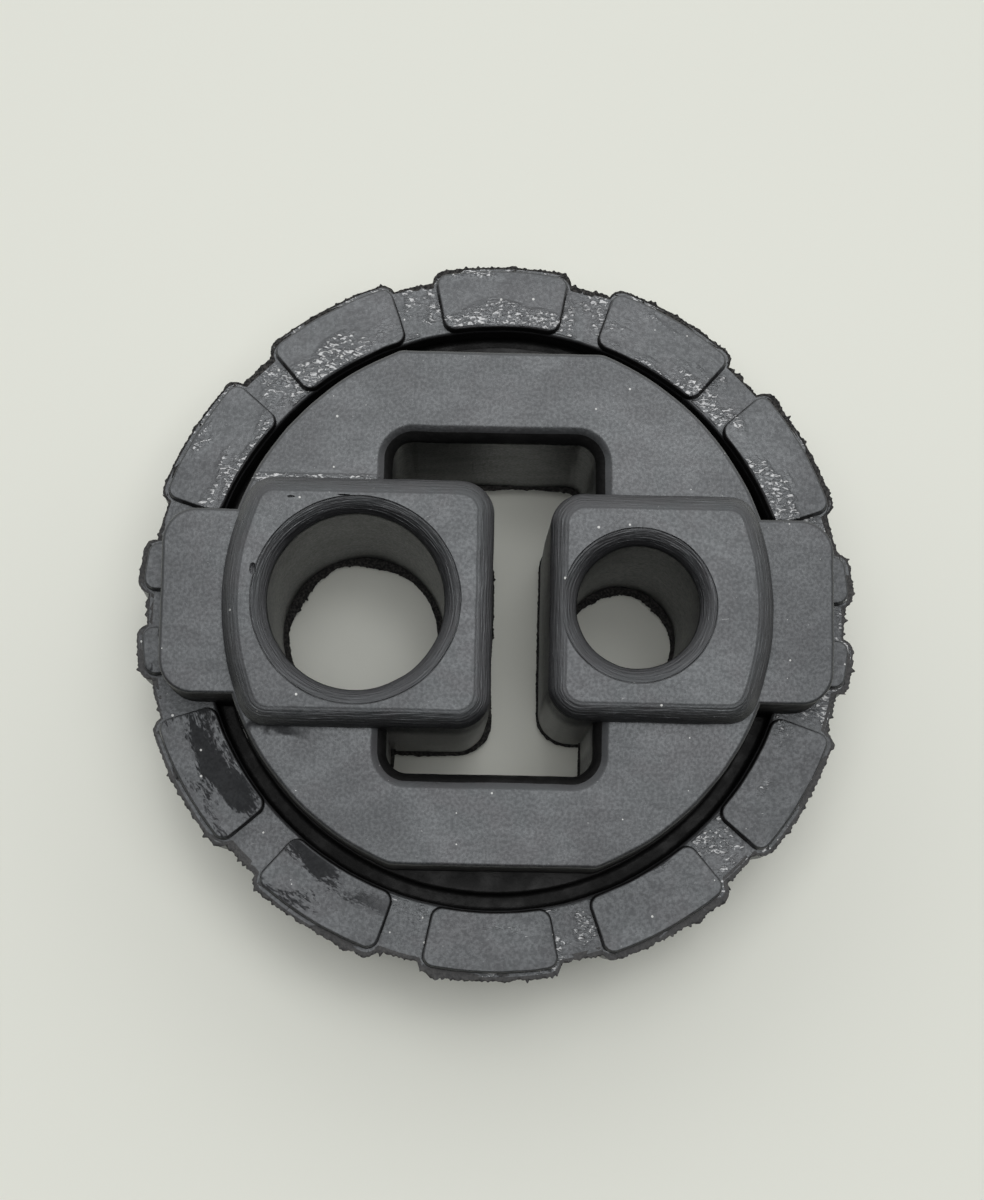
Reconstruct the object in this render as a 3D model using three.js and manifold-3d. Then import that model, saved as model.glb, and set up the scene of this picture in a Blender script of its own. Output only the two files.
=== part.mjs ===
// Exhaust hanger rubber: one black moulding with two rod bores in raised bosses, a window between
// them, and an outer ring of low pads that is joined to the body by two tabs and a thin web.
// Millimetres, +Z along the bores. It lies on the back ends of its bosses, and the origin is on
// that plane, on the ring's axis. +X runs from the large bore to the small one.

import * as THREE from "three";
import { mergeVertices } from "three/addons/utils/BufferGeometryUtils.js";
import Module from "manifold-3d";

// Thicknesses along Z, each centred on the same middle plane
const bossLength = 31;
const plateThickness = 26;
const coreThickness = 11;
const ringThickness = 10.6;
const webThickness = 3;
const padHeight = 1.1;

// Radii of the body and the ring, from the plate outwards
const plateRadius = 27.2;
const coreLedge = 0.4;
const grooveWidth = 1.7;
const ringWidth = 5.6;
const lugRise = 1.1;

// Body plate, with two flats
const flatDepth = 1.9;
const flatCorner = 2;
const plateEdge = 0.6;

// Bosses: the wall at the sides and the inner end of each bore sets the size of its block
const boreSpacing = 27.4;
const boresCentreX = -0.1;
const largeBoss = { side: -1, boreDiameter: 17.2, sideWall: 3.55, innerWall: 4.65 };
const smallBoss = { side: 1, boreDiameter: 12, sideWall: 5.1, innerWall: 2.6 };
const bossInnerCorner = 3.3;
const bossOuterCorner = 3;
const bossEdge = 2;
const bossRimInset = 0.4;
const boreChamferWidth = 1.45;
const boreChamferDepth = 1.5;

// Window through the plate, longer than the bosses by a slot at each end
const windowCentreX = -0.55;
const windowWidth = 20;
const windowSlot = 4.2;
const windowCorner = 2;
const windowChamferWidth = 1.25;
const windowChamferDepth = 1.7;

// Tabs that carry the ring
const tabWidth = 18.2;
const tabSetback = 3.2;
const tabCorner = 3.3;
const tabEdge = 0.5;

// Lugs on the ring's side, with a pad on both faces of each lug
const lugCount = 12;
const lugGapAngle = 7.5;
const splitGapAngle = 6;
const lugCorner = 1.4;
const lugRoot = 2.5;
const lugMargin = 0.3;
const padInnerLedge = 0.1;
const padOuterLedge = 0.55;
const padCorner = 1.2;
const padEdge = 0.35;
const ringBevel = 0.35;

// Facets: how far a flat facet may lie from a true round, and how far a cut runs past a face
const facetTolerance = 0.03;
const edgeFacets = 3;
const cutMargin = 2;

const coreRadius = plateRadius + coreLedge;
const ringInnerRadius = coreRadius + grooveWidth;
const ringOuterRadius = ringInnerRadius + ringWidth;
const lugRadius = ringOuterRadius + lugRise;
const middleZ = bossLength / 2;
const quarter = Math.PI / 2;

const rubberMaterial = new THREE.MeshStandardMaterial({
  name: "rubber_black",
  color: 0x4a4b4d,
  roughness: 0.62,
  metalness: 0,
});

const wasm = await Module();
wasm.setup();

// Turns a closed three.js geometry into a solid that can be joined and cut
function solid(geometry) {
  const bare = geometry.clone();
  bare.deleteAttribute("normal");
  bare.deleteAttribute("uv");
  const merged = mergeVertices(bare, 1e-5);
  const mesh = new wasm.Mesh({
    numProp: 3,
    vertProperties: new Float32Array(merged.attributes.position.array),
    triVerts: new Uint32Array(merged.index.array),
  });
  return new wasm.Manifold(mesh);
}

// Turns a joined solid back into a three.js geometry
function geometryOf(body) {
  const mesh = body.getMesh();
  const geometry = new THREE.BufferGeometry();
  geometry.setAttribute("position", new THREE.BufferAttribute(mesh.vertProperties, mesh.numProp));
  geometry.setIndex(new THREE.BufferAttribute(mesh.triVerts, 1));
  geometry.computeVertexNormals();
  return geometry;
}

// Number of facets that keeps an arc within the tolerance
function facetCount(radius, angle) {
  const facetAngle = 2 * Math.acos(1 - Math.min(facetTolerance / radius, 1));
  return Math.max(1, Math.ceil(Math.abs(angle) / facetAngle));
}

// Points along an arc, both ends included; it runs clockwise where end is below start
function arc(x, y, radius, start, end) {
  const count = facetCount(radius, end - start);
  const points = [];
  for (let i = 0; i <= count; i += 1) {
    const angle = start + ((end - start) * i) / count;
    points.push(new THREE.Vector2(x + radius * Math.cos(angle), y + radius * Math.sin(angle)));
  }
  return points;
}

// Extrudes an outline along Z, centred on the middle plane, with its rounded edges inside it
function prism(points, height, edge, rounding) {
  const geometry = new THREE.ExtrudeGeometry(new THREE.Shape(points), {
    depth: height - 2 * edge,
    bevelEnabled: edge > 0,
    bevelThickness: edge,
    bevelSize: edge,
    bevelOffset: -edge,
    bevelSegments: rounding,
  });
  geometry.translate(0, 0, middleZ - height / 2 + edge);
  return geometry;
}

// Turns a profile of [radius, height above the middle plane] pairs about the Z axis
function turned(profile) {
  const points = profile.map(([radius, height]) => new THREE.Vector2(radius, height));
  const widest = Math.max(...profile.map(([radius]) => radius));
  const geometry = new THREE.LatheGeometry(points, facetCount(widest, 4 * quarter));
  geometry.rotateX(quarter);
  geometry.translate(0, 0, middleZ);
  return geometry;
}

// Outline of the plate: a disc cut by two flats, with round corners between them
function plateOutline() {
  const cornerY = plateRadius - flatDepth - flatCorner;
  const angle = Math.asin(cornerY / (plateRadius - flatCorner));
  const cornerX = (plateRadius - flatCorner) * Math.cos(angle);
  return [
    ...arc(0, 0, plateRadius, -angle, angle),
    ...arc(cornerX, cornerY, flatCorner, angle, quarter),
    ...arc(-cornerX, cornerY, flatCorner, quarter, 2 * quarter - angle),
    ...arc(0, 0, plateRadius, 2 * quarter - angle, 2 * quarter + angle),
    ...arc(-cornerX, -cornerY, flatCorner, 2 * quarter + angle, 3 * quarter),
    ...arc(cornerX, -cornerY, flatCorner, 3 * quarter, 4 * quarter - angle),
  ];
}

// Outline of the window: a rectangle with round corners
function windowOutline() {
  const x = windowWidth / 2 - windowCorner;
  const y = bossWidth(largeBoss) / 2 + windowSlot - windowCorner;
  return [
    ...arc(windowCentreX + x, y, windowCorner, 0, quarter),
    ...arc(windowCentreX - x, y, windowCorner, quarter, 2 * quarter),
    ...arc(windowCentreX - x, -y, windowCorner, 2 * quarter, 3 * quarter),
    ...arc(windowCentreX + x, -y, windowCorner, 3 * quarter, 4 * quarter),
  ];
}

function bossWidth(boss) {
  return boss.boreDiameter + 2 * boss.sideWall;
}

function boreX(boss) {
  return boresCentreX + (boss.side * boreSpacing) / 2;
}

// Outline of a boss on the +X side: straight inner end and sides, and an outer end that follows
// the plate's rim
function bossOutline(boss) {
  const rimRadius = plateRadius - bossRimInset;
  const outerY = bossWidth(boss) / 2 - bossOuterCorner;
  const angle = Math.asin(outerY / (rimRadius - bossOuterCorner));
  const outerX = (rimRadius - bossOuterCorner) * Math.cos(angle);
  const innerEnd = boss.side * boreX(boss) - boss.boreDiameter / 2 - boss.innerWall;
  const innerX = innerEnd + bossInnerCorner;
  const innerY = bossWidth(boss) / 2 - bossInnerCorner;
  return [
    ...arc(0, 0, rimRadius, -angle, angle),
    ...arc(outerX, outerY, bossOuterCorner, angle, quarter),
    ...arc(innerX, innerY, bossInnerCorner, quarter, 2 * quarter),
    ...arc(innerX, -innerY, bossInnerCorner, 2 * quarter, 3 * quarter),
    ...arc(outerX, -outerY, bossOuterCorner, 3 * quarter, 4 * quarter - angle),
  ];
}

// Outline of a tab on the +X side: it starts inside the boss and ends in two round corners
function tabOutline() {
  const rootX = plateRadius - bossRimInset - bossEdge - tabCorner;
  const cornerX = lugRadius - tabSetback - tabCorner;
  const cornerY = tabWidth / 2 - tabCorner;
  return [
    new THREE.Vector2(rootX, -tabWidth / 2),
    ...arc(cornerX, -cornerY, tabCorner, -quarter, 0),
    ...arc(cornerX, cornerY, tabCorner, 0, quarter),
    new THREE.Vector2(rootX, tabWidth / 2),
  ];
}

// Outline of a ring sector with round corners, centred on the +X axis
function sectorOutline(innerRadius, outerRadius, halfAngle, corner) {
  const inner = innerRadius + corner;
  const outer = outerRadius - corner;
  const innerAngle = halfAngle - Math.asin(corner / inner);
  const outerAngle = halfAngle - Math.asin(corner / outer);
  const innerX = inner * Math.cos(innerAngle);
  const innerY = inner * Math.sin(innerAngle);
  const outerX = outer * Math.cos(outerAngle);
  const outerY = outer * Math.sin(outerAngle);
  return [
    ...arc(0, 0, outerRadius, -outerAngle, outerAngle),
    ...arc(outerX, outerY, corner, outerAngle, halfAngle + quarter),
    ...arc(innerX, innerY, corner, halfAngle + quarter, innerAngle + 2 * quarter),
    ...arc(0, 0, innerRadius, innerAngle, -innerAngle),
    ...arc(innerX, -innerY, corner, 2 * quarter - innerAngle, 3 * quarter - halfAngle),
    ...arc(outerX, -outerY, corner, -halfAngle - quarter, -outerAngle),
  ];
}

// Middle of the body: the core under the flats, the web across the groove, and the plain ring
function coreWebAndRing() {
  const core = coreThickness / 2;
  const web = webThickness / 2;
  const ring = ringThickness / 2;
  const upperHalf = [
    [ringOuterRadius, ring],
    [ringInnerRadius + ringBevel, ring],
    [ringInnerRadius, ring - ringBevel],
    [ringInnerRadius, web],
    [coreRadius, web],
    [coreRadius, core],
    [0, core],
  ];
  const lowerHalf = upperHalf.map(([radius, height]) => [radius, -height]).reverse();
  return solid(turned([...lowerHalf, ...upperHalf]));
}

// The flat plate on both sides of the core
function plate() {
  return solid(prism(plateOutline(), plateThickness, plateEdge, 2));
}

// The window's through cut, with a chamfer that opens to each face of the plate
function windowCut() {
  const outline = windowOutline();
  const through = solid(prism(outline, plateThickness + 2 * cutMargin, 0, 0));
  const mouth = new THREE.ExtrudeGeometry(new THREE.Shape(outline), {
    depth: cutMargin,
    bevelThickness: windowChamferDepth,
    bevelSize: windowChamferWidth,
    bevelSegments: 1,
  });
  mouth.translate(0, 0, middleZ + plateThickness / 2);
  const topMouth = solid(mouth);
  mouth.translate(0, 0, -plateThickness - cutMargin);
  return through.add(topMouth).add(solid(mouth));
}

// One boss, a block with rounded ends that runs through the whole part
function bossBlock(boss) {
  const geometry = prism(bossOutline(boss), bossLength, bossEdge, edgeFacets);
  if (boss.side < 0) geometry.rotateZ(Math.PI);
  return solid(geometry);
}

// The bore through one boss, with a chamfer at each end
function boreCut(boss) {
  const throat = boss.boreDiameter / 2;
  const mouth = throat + boreChamferWidth;
  const end = bossLength / 2;
  const upperHalf = [
    [throat, end - boreChamferDepth],
    [mouth, end],
    [mouth, end + cutMargin],
    [0, end + cutMargin],
  ];
  const lowerHalf = upperHalf.map(([radius, height]) => [radius, -height]).reverse();
  const geometry = turned([...lowerHalf, ...upperHalf]);
  geometry.translate(boreX(boss), 0, 0);
  return solid(geometry);
}

// One tab, from inside its boss out over the ring
function tab(side) {
  const geometry = prism(tabOutline(), plateThickness, tabEdge, 1);
  if (side < 0) geometry.rotateZ(Math.PI);
  return solid(geometry);
}

// One lug on the ring's side with the pads on both of its faces; angles in degrees
function lugWithPads(middle, span) {
  const halfPad = THREE.MathUtils.degToRad(span / 2);
  const halfLug = halfPad + lugMargin / lugRadius;
  const padInner = ringInnerRadius + padInnerLedge;
  const padOuter = lugRadius - padOuterLedge;
  const lugPoints = sectorOutline(ringOuterRadius - lugRoot, lugRadius, halfLug, lugCorner);
  const padPoints = sectorOutline(padInner, padOuter, halfPad, padCorner);
  const lug = prism(lugPoints, ringThickness, 0, 0);
  const pads = prism(padPoints, ringThickness + 2 * padHeight, padEdge, 1);
  lug.rotateZ(THREE.MathUtils.degToRad(middle));
  pads.rotateZ(THREE.MathUtils.degToRad(middle));
  return solid(lug).add(solid(pads));
}

// All lugs, even round the ring; the one at each tab is split in two by a gap
function allLugs() {
  const pitch = 360 / lugCount;
  const fullSpan = pitch - lugGapAngle;
  const splitSpan = (fullSpan - splitGapAngle) / 2;
  const splitOffset = (splitSpan + splitGapAngle) / 2;
  const lugs = [];
  for (let i = 0; i < lugCount; i += 1) {
    const angle = i * pitch;
    if (angle % 180 === 0) {
      lugs.push(lugWithPads(angle - splitOffset, splitSpan));
      lugs.push(lugWithPads(angle + splitOffset, splitSpan));
    } else {
      lugs.push(lugWithPads(angle, fullSpan));
    }
  }
  return lugs;
}

// The whole moulding
function hangerRubber() {
  let body = coreWebAndRing().add(plate()).subtract(windowCut());
  for (const lug of allLugs()) body = body.add(lug);
  for (const side of [-1, 1]) body = body.add(tab(side));
  for (const boss of [largeBoss, smallBoss]) body = body.add(bossBlock(boss));
  for (const boss of [largeBoss, smallBoss]) body = body.subtract(boreCut(boss));
  const mesh = new THREE.Mesh(geometryOf(body), rubberMaterial);
  mesh.name = "hanger_rubber";
  return mesh;
}

const part = new THREE.Group();
part.name = "exhaust_hanger_rubber";
part.add(hangerRubber());

export default part;
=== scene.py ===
# Exhaust hanger rubber: the moulding with its torn flash and rubber surface, the floor, the
# light and the camera. Sizes are in millimetres and become metres when a mesh is made, except the
# lights' sizes and places, which are in metres.

import math

import bmesh
import bpy
from mathutils import Matrix, Vector, noise

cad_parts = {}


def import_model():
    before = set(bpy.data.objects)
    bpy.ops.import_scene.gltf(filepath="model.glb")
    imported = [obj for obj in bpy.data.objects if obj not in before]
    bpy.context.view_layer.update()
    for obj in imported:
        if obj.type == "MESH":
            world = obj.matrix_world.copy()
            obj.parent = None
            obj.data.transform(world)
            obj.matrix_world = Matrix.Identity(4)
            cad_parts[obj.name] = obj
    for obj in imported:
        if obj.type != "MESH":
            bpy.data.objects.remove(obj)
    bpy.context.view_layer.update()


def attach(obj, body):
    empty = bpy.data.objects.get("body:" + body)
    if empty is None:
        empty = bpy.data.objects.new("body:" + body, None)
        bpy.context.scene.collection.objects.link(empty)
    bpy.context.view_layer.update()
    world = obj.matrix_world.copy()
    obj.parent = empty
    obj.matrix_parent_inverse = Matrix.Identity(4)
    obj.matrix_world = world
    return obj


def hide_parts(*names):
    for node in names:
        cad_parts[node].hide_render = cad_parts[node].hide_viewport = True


MM = 0.001

# Thicknesses along Z, each centred on the same middle plane
BOSS_LENGTH = 31.0
PLATE_THICKNESS = 26.0
CORE_THICKNESS = 11.0
RING_THICKNESS = 10.6
WEB_THICKNESS = 3.0
PAD_HEIGHT = 1.1
MIDDLE_Z = BOSS_LENGTH / 2

# Radii of the body and the ring, from the plate outwards
PLATE_RADIUS = 27.2
CORE_RADIUS = PLATE_RADIUS + 0.4
RING_INNER_RADIUS = CORE_RADIUS + 1.7
RING_OUTER_RADIUS = RING_INNER_RADIUS + 5.6
LUG_RADIUS = RING_OUTER_RADIUS + 1.1

# Body plate, with two flats
FLAT_DEPTH = 1.9
FLAT_CORNER = 2.0
PLATE_EDGE = 0.4
PLATE_EDGE_STEPS = 5
PLATE_DRAFT = 0.35

# Bosses, each with its bore
BORE_SPACING = 27.4
BORES_CENTRE_X = -0.1
BOSS_INNER_CORNER = 3.3
BOSS_OUTER_CORNER = 3.0
BOSS_EDGE = 2.0
BOSS_EDGE_STEPS = 32
BOSS_RIPPLE = 0.012
BOSS_DRAFT = 0.1
BOSS_RIM_INSET = 0.4
LARGE_BOSS = {"side": -1, "bore": 17.2, "side_wall": 3.55, "inner_wall": 4.65}
SMALL_BOSS = {"side": 1, "bore": 12.0, "side_wall": 5.1, "inner_wall": 2.6}

# Chamfers at both ends of a bore; the groove round each is given by its depth, and its floor and
# outer edge as shares of that depth
BORE_CHAMFER_WIDTH = 1.45
BORE_CHAMFER_DEPTH = 1.5
CHAMFER_CROWN = 0.16
CHAMFER_STEPS = 8
CHAMFER_GROOVE = 0.16
GROOVE_FLOOR = 0.4
GROOVE_OUTSIDE = 1.3

# Nicks in the front of the large boss: place from its bore's axis, half length and half width
NICKS = [(-9.95, 2.8, 0.6, 0.34), (-6.5, 9.95, 0.1, 0.35), (-1.3, 10.2, 0.06, 0.6)]
NICK_DEPTH = 0.35
NICK_ROUGHNESS = 0.4

# Window through the plate; its chamfer ends within the reach, a radius, and has painted shade up to an
# unshaded edge below the plate's face
WINDOW_CENTRE_X = -0.55
WINDOW_WIDTH = 20.0
WINDOW_SLOT = 4.2
WINDOW_CORNER = 2.0
WINDOW_CHAMFER_WIDTH = 1.25
WINDOW_CHAMFER_DEPTH = 1.7
WINDOW_SOFT = 0.45
WINDOW_CROWN = 0.22
WINDOW_LIP = 0.03
WINDOW_REACH = 23.0
UNSHADED_EDGE = 0.35

# Tabs that carry the ring
TAB_WIDTH = 18.2
TAB_REACH = LUG_RADIUS - 3.2
TAB_CORNER = 3.3
TAB_EDGE = 0.35
TAB_EDGE_STEPS = 4
TAB_DRAFT = 0.15

# Lugs and pads
LUG_COUNT = 12
LUG_GAP_ANGLE = 7.5
SPLIT_GAP_ANGLE = 6.0
LUG_CORNER = 1.4
LUG_ROOT = 2.5
LUG_MARGIN = 0.3
LUG_EDGE = 0.2
LUG_EDGE_STEPS = 2
LUG_DRAFT = 0.1
PAD_INNER_LEDGE = 0.1
PAD_OUTER_LEDGE = 0.55
PAD_CORNER = 1.2
PAD_EDGE = 0.2
PAD_EDGE_STEPS = 4
PAD_DRAFT = 0.1

# Edges of the ring, and how far its solid reaches into the plate
RING_BEVEL = 0.35
RING_SOFT = 0.2
GROOVE_FILLET = 0.5
RING_ROOT = 4.0

# Facets and outlines, and how far a cutting shape runs past a face
FACET_TOLERANCE = 0.006
LONGEST_EDGE = 0.8
SAME_POINT = 1e-6
SHARPEST_MITRE = 0.5
CUT_MARGIN = 2.0

# Creases in degrees: a sharper bend between two faces stays a hard edge
BODY_CREASE = 32
FLASH_CREASE = 50
CREASE_WEIGHT = 60

# Which faces take the rubber with painted shade: margins round their places, and how far a wall or a
# chamfer tilts up or down, from 0 for an upright face to 1 for a level one
LEVEL_MARGIN = 0.1
GROOVE_MARGIN = 0.02
FLAT_MARGIN = 0.3
TAB_MARGIN = 1.0
WALL_TILT = 0.6
CHAMFER_TILT = 0.2

# Waves that take the straightness out of faces and edges; the seed makes them the same every time
WAVE_SEED = 1
WAVE_LENGTH = 9.0
WAVE_HEIGHT = 0.05
RIPPLE_LENGTH = 2.2
RIPPLE_HEIGHT = 0.05

# Torn flash: spacing of its teeth, thickness, how deep it is rooted, how far it curls, and its
# nose in shares of its width and thickness
FLASH_STEP = 0.09
FLASH_THICKNESS = 0.22
FLASH_ROOT = 0.5
FLASH_SINK = 0.05
FLASH_LIFT = 0.16
FLASH_NOSE = [(0, 0), (0.68, -0.06), (1, -0.55), (0.6, -0.95), (0, -1)]
FLASH_TRIM = 0.35
RIM_LIP = 0.14

# Waves of a torn edge and how much each adds; long teeth and spikes only stand above a height
TEAR_SLOW = {"wave": 7.0, "share": 1.1}
TEAR_RAGGED = {"wave": 0.8, "share": 0.5}
TEAR_FINE = {"wave": 0.3, "share": 0.6}
TEAR_LONG = {"wave": 1.6, "share": 2.4, "above": 0.22, "seed": 9}
TEAR_SPIKE = {"wave": 0.45, "share": 2.6, "above": 0.25, "seed": 20}
TEAR_LIFT = {"wave": 0.5, "seed": 5}
NARROWEST_FLASH = 0.03

# Each flash by its seed, its even width and how far its teeth stand out
RIM_FLASH = {"seed": 3, "base": 0.1, "teeth": 0.3}
BORE_FLASH = {"seed": 5, "base": 0.8, "teeth": 0.14}
BOSS_FLASH = {"seed": 7, "base": 0.5, "teeth": 0.12}
WINDOW_FLASH = {"seed": 11, "base": 0.35, "teeth": 0.1}

# Levels of the flash, and of the front of the pads and the plate
RIM_FLASH_Z = MIDDLE_Z + RING_THICKNESS / 2
PAD_LEVEL = RIM_FLASH_Z + PAD_HEIGHT
PLATE_LEVEL = MIDDLE_Z + PLATE_THICKNESS / 2
BORE_FLASH_Z = BORE_CHAMFER_DEPTH
BOSS_FLASH_Z = BOSS_EDGE
WINDOW_FLASH_Z = MIDDLE_Z - PLATE_THICKNESS / 2 + WINDOW_CHAMFER_DEPTH

# Camera, fitted to the photograph's outlines
CAMERA_PLACE = Vector((-4.89, -35.0, 279.0))
CAMERA_TILT_X = -0.141
CAMERA_TILT_Y = 0.017
CAMERA_ROLL = -0.021
CAMERA_LENS = 78.0
CAMERA_SENSOR = 36.0
CAMERA_REACH = 10000.0

QUARTER = math.pi / 2

# How much longer worn and stained patches are round the ring than across it, and how much X and Y
# count along the slanted line that the ring's wear and stains follow
RING_PATTERN_STRETCH = 2.5
SLANT_X = 1.3
SLANT_Y = 0.7

# Colours of the rubber and of what lies on it
GREY_RUBBER = (0.016, 0.018, 0.019)
BROWN_RUBBER = (0.019, 0.0165, 0.018)
WIPED_RUBBER = (0.034, 0.036, 0.038)
DARK_RUBBER = (0.008, 0.008, 0.009)
MOTTLE = (0.045, 0.046, 0.05)
# Painted light: the faces lighter towards +Y, the side the light comes from
PAINTED_LIGHT = (0.06, 0.06, 0.06)
WALL = (0.04, 0.04, 0.042)
RIM_WALL = (0.012, 0.012, 0.013)
# Painted shade on the walls that face -Y, away from the light
SHADED_WALL = (0.005, 0.005, 0.006)
# Painted bounce light from the floor on the bosses' walls in the window
BOUNCE_LIT_WALL = (0.34, 0.34, 0.32)
# Painted dark: a dark reflection on the pads, a shadow at the large boss's near foot, and shade
# between the glints
PAINTED_DARK = (0.006, 0.006, 0.007)
# Painted shade along the throats of the chamfers
THROAT_SHADE = (0.002, 0.002, 0.002)
# Painted glints on the scaly rubber
PAINTED_GLINT = (0.48, 0.48, 0.48)
DUST = (0.5, 0.5, 0.48)
# Painted shade: near-black rubber deep in the groove and on the ledges, and lighter rubber on the
# upper part of the sides
DEEP_SHADE_RUBBER = ((0.003, 0.003, 0.003), (0.007, 0.007, 0.007))
SIDE_SHADE_RUBBER = ((0.022, 0.022, 0.022), (0.034, 0.034, 0.034))
TORN_RUBBER = ((0.008, 0.008, 0.008), (0.045, 0.043, 0.04))
NEAR_SIDE_FLASH = (0.06, 0.06, 0.062)

# Floor
FLOOR_HALF = 6000.0
FLOOR_COLOUR = (0.69, 0.70, 0.634)
FLOOR_ROUGHNESS = 0.55

# Light, in metres and watts; the surroundings are brightest low on the far side, +Y
LIGHT_COLOUR = (1.0, 1.0, 1.0)
SOFTBOX_PLACE = (0.08, 0.12, 3.0)
SOFTBOX_SIZE = 2.1
SOFTBOX_POWER = 58
LAMP_PLACE = (0.25, 0.5, 2.9)
LAMP_SIZE = 0.4
LAMP_POWER = 4
WORLD_NEAR = 0.06
WORLD_FAR = 1.15
WORLD_DIP = 0.6
WORLD_RANGE = (-0.7, 0.4)


# Points along an arc, both ends included; it runs clockwise where end is below start
def arc(x, y, radius, start, end):
    step = 2 * math.acos(1 - min(FACET_TOLERANCE / radius, 1))
    count = max(2, math.ceil(abs(end - start) / step))
    angles = [start + (end - start) * i / count for i in range(count + 1)]
    return [(x + radius * math.cos(a), y + radius * math.sin(a)) for a in angles]


def point_between(start, end, share):
    return start[0] + (end[0] - start[0]) * share, start[1] + (end[1] - start[1]) * share


# Joins pieces of outline, drops doubled points and breaks up long straight stretches
def outline(*pieces):
    points = []
    for point in [p for piece in pieces for p in piece]:
        if not points or math.dist(points[-1], point) > SAME_POINT:
            points.append(point)
    if math.dist(points[0], points[-1]) < SAME_POINT:
        points.pop()
    fine = []
    for i, start in enumerate(points):
        end = points[(i + 1) % len(points)]
        parts = max(1, math.ceil(math.dist(start, end) / LONGEST_EDGE))
        fine += [point_between(start, end, j / parts) for j in range(parts)]
    return fine


# Normals of a counterclockwise outline, pointing out, and long enough to keep mitres true
def outward_normals(points):
    normals = []
    count = len(points)
    for i, point in enumerate(points):
        before = Vector(point) - Vector(points[i - 1])
        after = Vector(points[(i + 1) % count]) - Vector(point)
        a = Vector((before.y, -before.x)).normalized()
        b = Vector((after.y, -after.x)).normalized()
        middle = (a + b).normalized()
        normals.append(middle / max(middle.dot(a), SHARPEST_MITRE))
    return normals


# Moves an outline outwards by a distance, or inwards where it is negative
def grown(points, distance):
    normals = outward_normals(points)
    return [(p[0] + n.x * distance, p[1] + n.y * distance) for p, n in zip(points, normals)]


def rotated(points, angle):
    c = math.cos(angle)
    s = math.sin(angle)
    return [(x * c - y * s, x * s + y * c) for x, y in points]


# Makes a Blender object from vertices in millimetres and faces
def mesh_object(name, vertices, faces):
    mesh = bpy.data.meshes.new(name)
    mesh.from_pydata([Vector(v) * MM for v in vertices], [], faces)
    mesh.update()
    piece = bpy.data.objects.new(name, mesh)
    bpy.context.scene.collection.objects.link(piece)
    return piece


# Closed solid through outlines of equal length, from the lowest to the highest
def loft(name, layers):
    count = len(layers[0][0])
    vertices = [(x, y, z) for points, z in layers for x, y in points]
    faces = [tuple(reversed(range(count)))]
    for k in range(len(layers) - 1):
        for i in range(count):
            j = (i + 1) % count
            low = k * count
            high = low + count
            faces.append((low + i, low + j, high + j, high + i))
    top = (len(layers) - 1) * count
    faces.append(tuple(range(top, top + count)))
    return mesh_object(name, vertices, faces)


# Growth and height of the layers of a block: rounded edges, which may be rippled by a cutter's
# passes, and sides that lean by a draft
def edge_layers(half_height, edge, steps, draft, ripple=0.0):
    upper = []
    for i in range(steps + 1):
        angle = QUARTER * i / steps
        radius = edge + ripple * math.sin(i * QUARTER)
        upper.append((radius * math.cos(angle) - edge, half_height - edge + radius * math.sin(angle)))
    lower = [(growth, -height) for growth, height in reversed(upper)]
    return [*lower, (draft, 0), *upper]


# Block between two heights that mirror each other about the middle plane
def block(name, points, height, edge, steps, draft, ripple=0.0):
    layers = []
    for growth, z in edge_layers(height / 2, edge, steps, draft, ripple):
        layers.append((grown(points, growth), MIDDLE_Z + z))
    return loft(name, layers)


# Solid of revolution about the ring's axis from a closed profile of (radius, height) pairs
def turned(name, profile):
    widest = max(radius for radius, height in profile)
    ring = [(x / widest, y / widest) for x, y in arc(0, 0, widest, 0, 4 * QUARTER)[:-1]]
    count = len(ring)
    vertices = [(r * c, r * s, MIDDLE_Z + z) for r, z in profile for c, s in ring]
    faces = []
    for k in range(len(profile)):
        low = k * count
        high = ((k + 1) % len(profile)) * count
        for i in range(count):
            j = (i + 1) % count
            faces.append((low + i, low + j, high + j, high + i))
    return mesh_object(name, vertices, faces)


# Joins or cuts two solids; the second one is used up
def combine(piece, tool, operation):
    modifier = piece.modifiers.new(operation, "BOOLEAN")
    modifier.operation = operation
    modifier.solver = "MANIFOLD"
    modifier.object = tool
    graph = bpy.context.evaluated_depsgraph_get()
    mesh = bpy.data.meshes.new_from_object(piece.evaluated_get(graph))
    piece.modifiers.clear()
    piece.data = mesh
    bpy.data.objects.remove(tool)


# Points every face of a closed mesh outwards
def face_out(piece):
    work = bmesh.new()
    work.from_mesh(piece.data)
    bmesh.ops.recalc_face_normals(work, faces=work.faces)
    work.to_mesh(piece.data)
    work.free()


# Puts several meshes that stay clear of each other into one
def merged(name, pieces):
    work = bmesh.new()
    for piece in pieces:
        work.from_mesh(piece.data)
        bpy.data.objects.remove(piece)
    mesh = bpy.data.meshes.new(name)
    work.to_mesh(mesh)
    work.free()
    result = bpy.data.objects.new(name, mesh)
    bpy.context.scene.collection.objects.link(result)
    return result


# Plan outlines, counterclockwise
def plate_shape():
    corner_y = PLATE_RADIUS - FLAT_DEPTH - FLAT_CORNER
    angle = math.asin(corner_y / (PLATE_RADIUS - FLAT_CORNER))
    corner_x = (PLATE_RADIUS - FLAT_CORNER) * math.cos(angle)
    return outline(
        arc(0, 0, PLATE_RADIUS, -angle, angle),
        arc(corner_x, corner_y, FLAT_CORNER, angle, QUARTER),
        arc(-corner_x, corner_y, FLAT_CORNER, QUARTER, 2 * QUARTER - angle),
        arc(0, 0, PLATE_RADIUS, 2 * QUARTER - angle, 2 * QUARTER + angle),
        arc(-corner_x, -corner_y, FLAT_CORNER, 2 * QUARTER + angle, 3 * QUARTER),
        arc(corner_x, -corner_y, FLAT_CORNER, 3 * QUARTER, 4 * QUARTER - angle),
    )


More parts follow.
